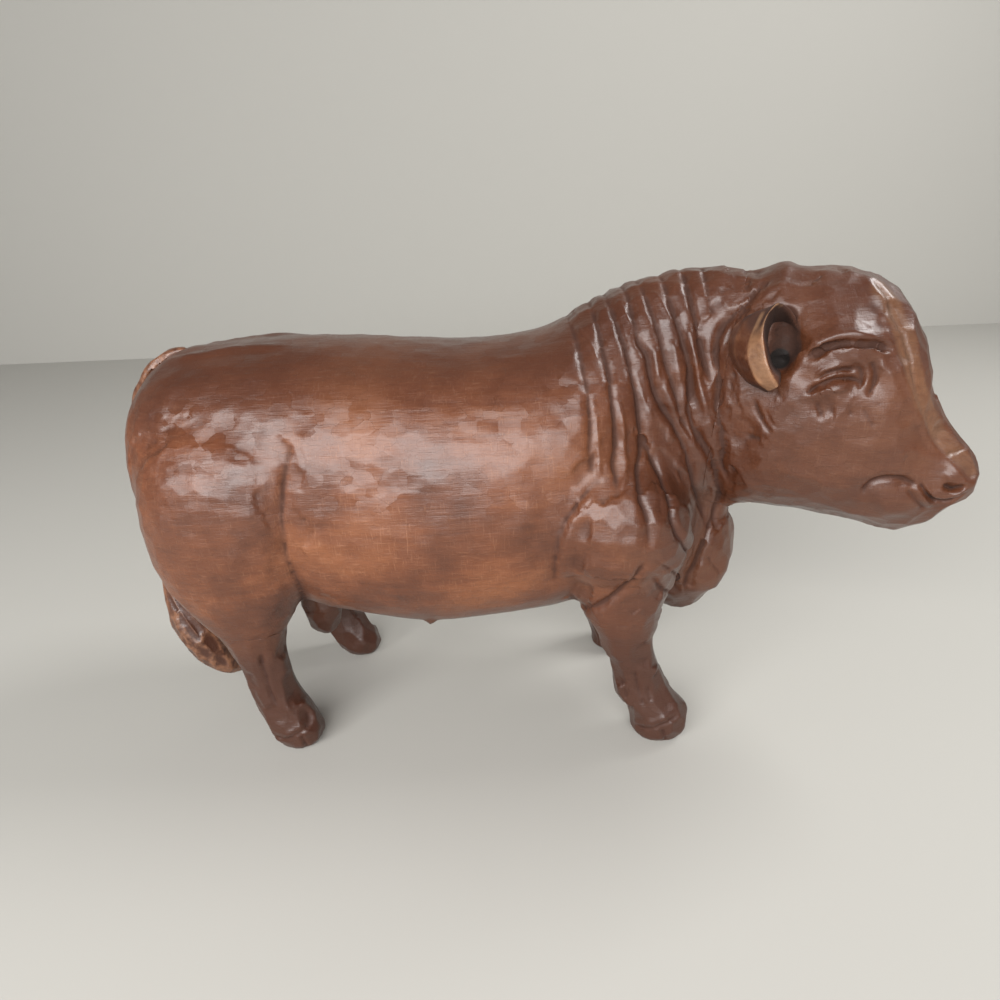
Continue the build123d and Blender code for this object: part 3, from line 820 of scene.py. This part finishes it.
# Paler rubbed wood, on the bridge of the nose also a painted highlight
rubbed_and_highlight_colour = (0.42, 0.23, 0.115, 1)
streak_kinds = (((30, 360, 360), 6), ((170, 2600, 2600), 3), ((24, 24, 24), 3), ((190, 420, 2300), 2),
                ((2300, 420, 190), 2), ((300, 300, 300), 3))
darker_and_shaded_places = (("X", -0.01, 0.05, 0.65), ("Z", 0.085, 0.045, 1.0), ("Z", 0.146, 0.168, 0.75))
mark_edge = (0.58, 0.74)
flat_cells = (140, 190, 210)
flat_slope, flat_drop = 0.0020, 0.00045
streak_depths = (-0.00004, 0.00009, 0.00007, 0.00025)
varnish_roughness = 0.22


def linked(tree, kind, sources=(), **values):
    """A shader node with these settings, its inputs joined to the sources or set to numbers."""
    made = tree.nodes.new(kind)
    for name, value in values.items():
        setattr(made, name, value)
    for socket, source in sources:
        if isinstance(source, bpy.types.NodeSocket):
            tree.links.new(source, made.inputs[socket])
        else:
            made.inputs[socket].default_value = source
    return made


def streaks(tree, place, stretch, detail):
    """Soft noise drawn out along one or two directions."""
    mapped = linked(tree, "ShaderNodeMapping", ((0, place), ("Scale", stretch)))
    noise = (("Vector", mapped.outputs[0]), ("Scale", 1.0), ("Detail", detail), ("Roughness", 0.6))
    return linked(tree, "ShaderNodeTexNoise", noise).outputs["Fac"]


def ranged(tree, value, low, high, to_low=0.0, to_high=1.0):
    """The value drawn from one range to another, and held at its ends."""
    return linked(tree, "ShaderNodeMapRange", (("Value", value), ("From Min", low), ("From Max", high),
                                               ("To Min", to_low), ("To Max", to_high))).outputs[0]


def mixed(tree, share, first, second):
    """Two colours mixed by a share."""
    sources = ((0, share), (6, first), (7, second))
    return linked(tree, "ShaderNodeMix", sources, data_type="RGBA", blend_type="MIX").outputs[2]


def maths(tree, operation, first, second):
    return linked(tree, "ShaderNodeMath", ((0, first), (1, second)), operation=operation).outputs[0]


def times(tree, first, second):
    return maths(tree, "MULTIPLY", first, second)


def plus(tree, first, second):
    return maths(tree, "ADD", first, second)


def vectors(tree, operation, first, second):
    return linked(tree, "ShaderNodeVectorMath", ((0, first), (1, second)), operation=operation)


look = bpy.data.node_groups.new("carved_wood", "ShaderNodeTree")
look.interface.new_socket("Place", in_out="INPUT", socket_type="NodeSocketVector")
for name in ("Hollow", "Worn_and_highlight", "Flats"):
    look.interface.new_socket(name, in_out="INPUT", socket_type="NodeSocketFloat")
look.interface.new_socket("Colour", in_out="OUTPUT", socket_type="NodeSocketColor")
for name in ("Roughness", "Varnish", "Height"):
    look.interface.new_socket(name, in_out="OUTPUT", socket_type="NodeSocketFloat")
given = look.nodes.new("NodeGroupInput")
result = look.nodes.new("NodeGroupOutput")
where = given.outputs["Place"]
grain, pores, blotches, level_marks, upright_marks, wear = [
    streaks(look, where, stretch, detail) for stretch, detail in streak_kinds]
tone = plus(look, times(look, grain, 0.22), times(look, blotches, 0.78))
colour = mixed(look, ranged(look, tone, 0.36, 0.52), stain_dark, stain_mid)
colour = mixed(look, ranged(look, tone, 0.50, 0.68), colour, stain_light)
colour = mixed(look, ranged(look, pores, 0.50, 0.75, 0, 0.35), colour, stain_dark)
marks = maths(look, "MAXIMUM", ranged(look, level_marks, *mark_edge), ranged(look, upright_marks, *mark_edge))
marks = times(look, marks, ranged(look, blotches, 0.38, 0.58, 0.25, 1.0))
colour = mixed(look, times(look, marks, 0.50), colour, worn_colour)
# Darker towards the front and the bottom, and along the top as painted shade
spot = linked(look, "ShaderNodeSeparateXYZ", ((0, where),))
darker_and_shaded = 0.0
for axis, low_end, high_end, most in darker_and_shaded_places:
    darker_and_shaded = maths(look, "MAXIMUM", darker_and_shaded, ranged(look, spot.outputs[axis], low_end, high_end, 0, most))
colour = mixed(look, darker_and_shaded, colour, darker_and_shade_colour)
# Darker in the cuts, as stain gathered there and painted shade
cut = ranged(look, given.outputs["Hollow"], 0.06, 0.50)
colour = mixed(look, times(look, cut, 0.75), colour, cut_stain_and_shade_colour)
# A painted shadow, near black, in the ear's hole
colour = mixed(look, ranged(look, given.outputs["Hollow"], 0.8, 1.4, 0, 0.95), colour, hole_painted_shadow_colour)
ridge = times(look, ranged(look, given.outputs["Hollow"], -0.04, -0.25, 0, 0.5),
              ranged(look, wear, 0.35, 0.6))
colour = mixed(look, ridge, colour, worn_colour)
# Rubbed paler on the ear rims and the bridge of the nose, where it is also a painted highlight
rubbed_and_highlight = times(look, given.outputs["Worn_and_highlight"], ranged(look, grain, 0.35, 0.60, 0.6, 1.1))
colour = mixed(look, rubbed_and_highlight, colour, rubbed_and_highlight_colour)
look.links.new(colour, result.inputs["Colour"])
shine = plus(look, ranged(look, blotches, 0.3, 0.7, 0.34, 0.46), times(look, marks, 0.14))
shine = plus(look, shine, times(look, cut, 0.45))
look.links.new(shine, result.inputs["Roughness"])
look.links.new(ranged(look, given.outputs["Hollow"], 0.02, 0.3, 0.3, 0.03), result.inputs["Varnish"])
cells = linked(look, "ShaderNodeMapping", ((0, where), ("Scale", flat_cells))).outputs[0]
flats = linked(look, "ShaderNodeTexVoronoi", (("Vector", cells), ("Scale", 1.0), ("Randomness", 0.85)),
               distance="CHEBYCHEV")
aside = vectors(look, "SUBTRACT", cells, flats.outputs["Position"]).outputs[0]
lean = vectors(look, "SUBTRACT", flats.outputs["Color"], (0.5, 0.5, 0.5)).outputs[0]
slopes = vectors(look, "DOT_PRODUCT", aside, lean).outputs["Value"]
level = linked(look, "ShaderNodeSeparateColor", ((0, flats.outputs["Color"]),)).outputs[1]
height = plus(look, times(look, slopes, flat_slope), times(look, level, flat_drop))
height = times(look, height, given.outputs["Flats"])
for streak, depth in zip((pores, level_marks, upright_marks, grain), streak_depths):
    height = plus(look, height, times(look, streak, depth))
look.links.new(height, result.inputs["Height"])

stained = bpy.data.materials.new("stained_wood")
stained.use_nodes = True
tree = stained.node_tree
gloss = tree.nodes["Principled BSDF"]
wood = linked(tree, "ShaderNodeGroup", node_tree=look)
tree.links.new(tree.nodes.new("ShaderNodeTexCoord").outputs["Object"], wood.inputs["Place"])
for name in ("hollow", "worn_and_highlight", "flats"):
    value = linked(tree, "ShaderNodeAttribute", attribute_name=name).outputs["Fac"]
    tree.links.new(value, wood.inputs[name.capitalize()])
relief = (("Strength", 1.0), ("Distance", 1.0), ("Height", wood.outputs["Height"]))
bump = linked(tree, "ShaderNodeBump", relief)
tree.links.new(wood.outputs["Colour"], gloss.inputs["Base Color"])
tree.links.new(wood.outputs["Roughness"], gloss.inputs["Roughness"])
tree.links.new(bump.outputs[0], gloss.inputs["Normal"])
tree.links.new(wood.outputs["Varnish"], gloss.inputs["Coat Weight"])
gloss.inputs["Coat Roughness"].default_value = varnish_roughness

# Pieces of the blank
# The carved blank parted at its glue seams: the head off the neck and the throat, and the four
# lower legs off the thighs and upper arms, each by a flat cut.
seam_foot = 55 * mm
head_profile = ((51, 5.4), (40, 34), (40, 140), (190, 140), (190, 20))
head_half_width = 80 * mm
leg_margin = 1.5 * mm
body_ratio = 0.70
seam_angle = math.radians(70)


def faced_outwards(piece):
    """Turns all faces of the piece outwards."""
    alone(piece)
    bpy.ops.object.mode_set(mode="EDIT")
    bpy.ops.mesh.select_all(action="SELECT")
    bpy.ops.mesh.normals_make_consistent(inside=False)
    bpy.ops.object.mode_set(mode="OBJECT")


def cutter(corners, name):
    """A closed block between two ends of the same number of corners."""
    mesh = bpy.data.meshes.new(name)
    count = len(corners) // 2
    sides = [(k, (k + 1) % count, (k + 1) % count + count, k + count) for k in range(count)]
    mesh.from_pydata(corners, [], [tuple(range(count))[::-1], tuple(range(count, 2 * count))] + sides)
    block = bpy.data.objects.new(name, mesh)
    bpy.context.scene.collection.objects.link(block)
    faced_outwards(block)
    return block


def parted(piece, blocks, operation, name):
    """A copy of the piece with the blocks taken off, or only what lies in the block."""
    part = piece.copy()
    part.data = piece.data.copy()
    part.name = name
    bpy.context.scene.collection.objects.link(part)
    bpy.context.view_layer.objects.active = part
    for block in blocks:
        cut = part.modifiers.new("cut", "BOOLEAN")
        cut.operation = operation
        cut.solver = "MANIFOLD"
        cut.object = block
        bpy.ops.object.modifier_apply(modifier=cut.name)
    return part


def finished(piece, material, slot, *nodes):
    """Smooth shading, the material, and what the piece rides on and stands for."""
    alone(piece)
    bpy.ops.object.shade_smooth_by_angle(angle=seam_angle)
    piece.data.materials.clear()
    piece.data.materials.append(material)
    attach(piece, "root")
    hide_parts(*nodes)


corners = []
for across in (-head_half_width, head_half_width):
    for rise, ahead in head_profile:
        aside = head_middle + head_ahead * ahead * mm + head_across * across
        corners.append(aside + upright * (seam_foot + rise * mm))
blocks = {"head": cutter(corners, "head_block")}
for name in blank_nodes[2:]:
    leg = np.array([list(vert.co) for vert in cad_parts[name].data.vertices])
    x0, y0, foot = leg.min(0) - leg_margin
    x1, y1, _ = leg.max(0) + leg_margin
    outline = ((x0, y0), (x1, y0), (x1, y1), (x0, y1))
    corners = [(x, y, z) for z in (foot, leg[:, 2].max()) for x, y in outline]
    blocks[name] = cutter(corners, name + "_block")
for name, block in blocks.items():
    finished(parted(blank, [block], "INTERSECT", name + "_piece"), stained, "stained_wood", name)
body_piece = parted(blank, blocks.values(), "DIFFERENCE", "body_piece")
thinned = body_piece.modifiers.new("thinned", "DECIMATE")
thinned.ratio = body_ratio
bpy.ops.object.modifier_apply(modifier=thinned.name)
finished(body_piece, stained, "stained_wood", "body")
for block in blocks.values():
    bpy.data.objects.remove(block)

# Ears
# Cupped leaves glued to the sides of the head: a rounded back, a broad bevelled rim worn paler,
# a deep hollow and a low front edge. Each row is a line from tip to foot: how far it lies out from
# the head's middle plane, and its pixels.
ear_steps = 60
ear_voxel = 0.38 * mm
rail_rounds, ear_rounds, ear_hollow_rounds = 5, 6, 30
# The first value paints shade over the ear's cup: how dark, how far and how soft at its edge
cup_painted_shade, cup_radius, cup_edge = 0.9, 13 * mm, 5 * mm
rim_wear, rim_width, rim_edge = 0.36, 3.4 * mm, 0.6 * mm
rim_facing, rim_facing_fade = 0.45, 0.2
ear_curves = (
    ((29, 22, 18, 18, 18, 18, 18, 20),
     ((770, 312), (750, 318), (737, 327), (731, 340), (731, 354), (737, 368), (748, 382), (764, 390))),
    ((31, 27, 25, 25, 25, 25, 25, 25),
     ((771, 308), (749, 314), (735, 324), (728, 338), (728, 353), (734, 368), (746, 383), (765, 391))),
    ((32, 32, 32, 33, 33, 33, 33, 32),
     ((773, 305), (754, 312), (743, 323), (736, 337), (734, 352), (739, 368), (750, 384), (767, 393))),
    ((33, 35, 37, 38, 39, 40, 40, 38),
     ((775, 303), (765, 314), (758, 327), (749, 341), (746, 355), (750, 370), (758, 384), (769, 392))),
    ((35, 37, 39, 41, 41, 42, 42, 40),
     ((777, 302), (768, 313), (764, 324), (763, 337), (765, 350), (768, 364), (772, 376), (777, 388))),
    ((35, 34, 31, 28, 28, 31, 39, 40),
     ((778, 303), (770, 314), (767, 325), (766, 338), (768, 351), (771, 364), (777, 375), (779, 387))),
    ((35, 28, 18, 12, 11, 11, 37, 38),
     ((779, 303), (774, 316), (773, 327), (772, 340), (773, 352), (774, 364), (780, 374), (780, 386))),
    ((35, 28, 19, 12, 11, 11, 18, 20),
     ((780, 303), (781, 313), (785, 323), (788, 335), (788, 348), (785, 362), (783, 373), (781, 380))),
    ((34, 31, 27, 22, 16, 14, 14, 16),
     ((781, 302), (787, 308), (792, 317), (796, 328), (797, 340), (794, 355), (788, 370), (781, 381))),
    ((31, 29, 25, 21, 16, 14, 14, 16),
     ((783, 303), (791, 308), (796, 316), (800, 327), (801, 340), (798, 355), (791, 371), (782, 382))),
    ((28, 20, 13, 12, 12, 12, 12, 16),
     ((782, 312), (790, 316), (795, 324), (797, 333), (797, 346), (793, 360), (786, 372), (780, 383))),
)


def beside_head(pixel, out):
    """Where a line of sight meets an upright plane so far out from the head's middle plane."""
    aim = sight(pixel)
    start = (head_middle - view_place).dot(-head_across) + out * mm
    return view_place + aim * (start / aim.dot(-head_across))


ways = np.linspace(0, 1, ear_steps)
rails = []
for outs, pixels in ear_curves:
    knots = np.linspace(0, 1, len(pixels))
    points = np.array([list(beside_head(pixel, out)) for pixel, out in zip(pixels, outs)])
    rail = np.stack([np.interp(ways, knots, points[:, axis]) for axis in range(3)], 1)
    for _ in range(rail_rounds):
        rail[1:-1] = rail[1:-1] / 2 + (rail[:-2] + rail[2:]) / 4
    rails.append(rail)
rails = np.array(rails)
ear_mesh = bpy.data.meshes.new("right_ear_piece")
count = len(rails)
walls = []
for start in range(0, (ear_steps - 1) * count, count):
    for k in range(count):
        after = (k + 1) % count
        walls.append((start + k, start + after, start + count + after, start + count + k))
caps = [tuple(range(count))[::-1], tuple(range((ear_steps - 1) * count, ear_steps * count))]
ear_mesh.from_pydata(rails.transpose(1, 0, 2).reshape(-1, 3).tolist(), [], walls + caps)
right_ear = bpy.data.objects.new("right_ear_piece", ear_mesh)
bpy.context.scene.collection.objects.link(right_ear)
faced_outwards(right_ear)
reskinned(right_ear, ear_voxel)
place(right_ear, eased(right_ear, places_of(right_ear), ear_rounds))
places, facings = surface(right_ear)
outwards = np.array(list(-head_across))
rim_middle = (rails[3] + rails[4]) / 2
near_rim = np.array([np.linalg.norm(rim_middle - point, axis=1).min() for point in places])
near_floor = np.array([np.linalg.norm(rails[6:8].mean(0) - point, axis=1).min() for point in places])
# How deep each point lies in a cut, for darkening that is stain and painted shade
hollow = ((eased(right_ear, places, ear_hollow_rounds) - places) * facings).sum(1) / mm
hollow += cup_painted_shade * ramp(cup_radius - near_floor, cup_edge)
facing_out = ramp(facings @ outwards - rim_facing, rim_facing_fade)
worn_and_highlight = rim_wear * ramp(rim_width - near_rim, rim_edge) * facing_out
mark(right_ear, "hollow", hollow)
mark(right_ear, "worn_and_highlight", worn_and_highlight)
left_ear = right_ear.copy()
left_ear.data = right_ear.data.copy()
left_ear.name = "left_ear_piece"
bpy.context.scene.collection.objects.link(left_ear)
places = places_of(left_ear)
offsets = (places - np.array(list(head_middle))) @ np.array(list(head_across))
place(left_ear, places - 2 * offsets[:, None] * np.array(list(head_across)))
left_ear.data.flip_normals()
finished(right_ear, stained, "stained_wood", "right_ear")
finished(left_ear, stained, "stained_wood", "left_ear")

# Tail
# A ridge over the rump that hangs down the back of the thighs to a pointed tuft of cut strands.
# It is the CAD tail in the same stained wood, and a hidden peg holds it.
tail_voxel = 0.75 * mm
tail_strands = (
    (((165, 590), (172, 606), (186, 628), (205, 652), (226, 668)), 0.9, 0.9),
    (((170, 588), (178, 603), (193, 624), (212, 645), (228, 662)), 0.9, 0.9),
    (((160, 560), (166, 580), (178, 600), (196, 622)), 0.7, 0.9),
    (((182, 604), (197, 622), (214, 641), (228, 656)), 0.8, 0.8),
)
tail_lean, tail_ends = 0.0, 0.15
tail_chisel = ((5 * mm, 6 * mm), 0.08, 0.05 * mm, 41)
tail_rounds, tail_hollow_rounds = 3, 16
socket_radius = 4 * mm
tail_middle = Vector((0, -6.4, 0)) * mm
tail = reskinned(copied(("tail",), "tail_piece"), tail_voxel)
place(tail, eased(tail, places_of(tail), tail_rounds))
skin = skin_of(tail)
places, facings = surface(tail)
places = scored(skin, places, facings, tail_strands, tail_lean, tail_ends, middle=tail_middle)
place(tail, places)
facings = facings_of(tail)
peg_end = min((vert.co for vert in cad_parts["tail_peg"].data.vertices), key=lambda place: place.x)
socket = np.linalg.norm((places - np.array(list(peg_end)))[:, 1:], axis=1)
places = chiselled(places, facings, np.clip(socket / socket_radius - 1, 0, 1), *tail_chisel)
place(tail, np.clip(places, low, high))
places, facings = surface(tail)
# How deep each point lies in a cut, for darkening that is stain and painted shade
hollow = ((eased(tail, places, tail_hollow_rounds) - places) * facings).sum(1) / mm
mark(tail, "hollow", hollow)
finished(tail, stained, "stained_wood", "tail")
bpy.data.objects.remove(blank)

# Dowels and pegs
# Plain turned hardwood, unstained, hidden in the glue joints. They are the CAD nodes themselves,
# with a pale wood of their own.
dowel_nodes = ("neck_dowels", "rear_leg_dowels", "front_leg_dowels", "ear_pegs", "tail_peg")
fibre_dark, fibre_pale, dowel_roughness = (0.48, 0.30, 0.15, 1), (0.66, 0.46, 0.26, 1), 0.62
pale_wood = bpy.data.materials.new("dowel_wood")
pale_wood.use_nodes = True
tree = pale_wood.node_tree
place_out = tree.nodes.new("ShaderNodeTexCoord").outputs["Object"]
fibre = streaks(tree, place_out, (60, 900, 900), 4)
shade = mixed(tree, ranged(tree, fibre, 0.35, 0.65), fibre_dark, fibre_pale)
tree.links.new(shade, tree.nodes["Principled BSDF"].inputs["Base Color"])
tree.nodes["Principled BSDF"].inputs["Roughness"].default_value = dowel_roughness
for name in dowel_nodes:
    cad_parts[name].data.materials.clear()
    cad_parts[name].data.materials.append(pale_wood)

# Floor and light
# A plain pale floor and backdrop, a broad window-like light high in front, and a small, weaker
# one high beyond the head.
floor_size = 6
wall_place, wall_turn = (0, 0.9, 0), (math.radians(90), 0, 0)
floor_colour, floor_roughness = (0.50, 0.485, 0.445, 1), 0.8
sky_colour, sky_strength = (0.86, 0.87, 0.90, 1), 0.24
lamp_aim = Vector((0, 0, 0.1))
lamp_plans = (
    ("window", (-0.28, -1.00, 0.60), (1.6, 0.60), 25),
    ("side_light", (0.80, 0.20, 0.95), (0.5, 0.5), 8),
)
bpy.ops.mesh.primitive_plane_add(size=floor_size)
floor = bpy.context.object
floor.name = "floor"
bpy.ops.mesh.primitive_plane_add(size=floor_size, location=wall_place, rotation=wall_turn)
wall = bpy.context.object
wall.name = "backdrop"
pale = bpy.data.materials.new("pale_floor")
pale.use_nodes = True
pale.node_tree.nodes["Principled BSDF"].inputs["Base Color"].default_value = floor_colour
pale.node_tree.nodes["Principled BSDF"].inputs["Roughness"].default_value = floor_roughness
floor.data.materials.append(pale)
wall.data.materials.append(pale)
world = bpy.data.worlds.new("soft_sky")
bpy.context.scene.world = world
world.use_nodes = True
world.node_tree.nodes["Background"].inputs["Color"].default_value = sky_colour
world.node_tree.nodes["Background"].inputs["Strength"].default_value = sky_strength
for name, spot, sizes, power in lamp_plans:
    bpy.ops.object.light_add(type="AREA", location=spot)
    lamp = bpy.context.object
    lamp.name = name
    lamp.data.shape = "RECTANGLE"
    lamp.data.size, lamp.data.size_y = sizes
    lamp.data.energy = power
    lamp.rotation_euler = (lamp_aim - lamp.location).to_track_quat("-Z", "Y").to_euler()
bpy.context.scene.view_settings.view_transform = "Standard"
